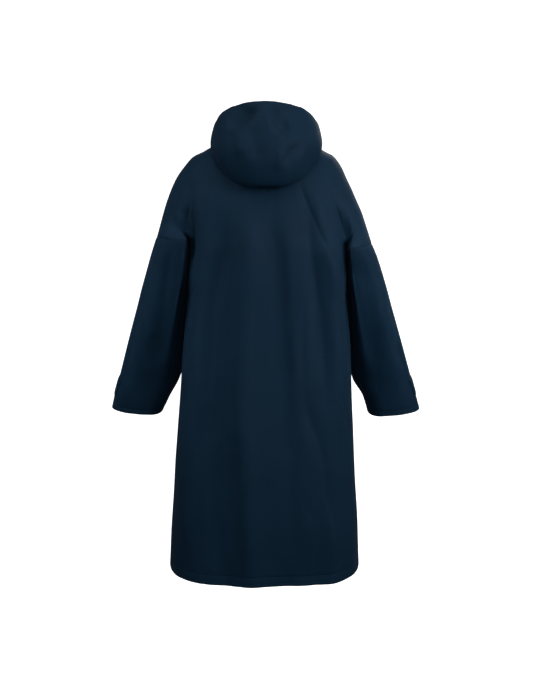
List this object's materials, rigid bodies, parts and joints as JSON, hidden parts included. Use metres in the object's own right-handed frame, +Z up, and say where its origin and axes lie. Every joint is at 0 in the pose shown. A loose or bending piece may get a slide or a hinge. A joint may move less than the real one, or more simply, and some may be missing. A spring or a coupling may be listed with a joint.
{
  "type": "changing robe",
  "caption": "Long hooded changing robe with dropped shoulders, wide sleeves, cuff tabs and a full-length front zip, worn shape without a wearer.",
  "frame": {"origin": "middle of the neck opening at the height of the nape, where the wearer's shoulders and neck hold the robe up", "axes": "+Z up, +Y the way the wearer looks (the zip's side), -Y the back, -X the wearer's left"},
  "size_m": [0.8647, 0.399, 1.2524],
  "materials": {
    "shell": "dark navy woven shell, soft sheen",
    "tape": "dark zip tape and moulded teeth",
    "metal": "dark satin"
  },
  "bodies": {
    "robe": {"back": "shell", "front_left": "shell", "front_right": "shell", "sleeve_left": "shell", "sleeve_right": "shell", "hood_left": "shell", "hood_right": "shell", "cuff_tab_left": "shell", "cuff_tab_right": "shell", "zip": "tape", "slider": "metal"},
    "pull_tab": {"pull_tab": "metal"}
  },
  "joints": [
    {"name": "pull_tab_swing", "type": "hinge", "parent": "robe", "child": "pull_tab", "pos_m": [0, 0.09334, -0.03851], "axis": [1, 0, 0], "range_deg": [0, 150]}
  ]
}
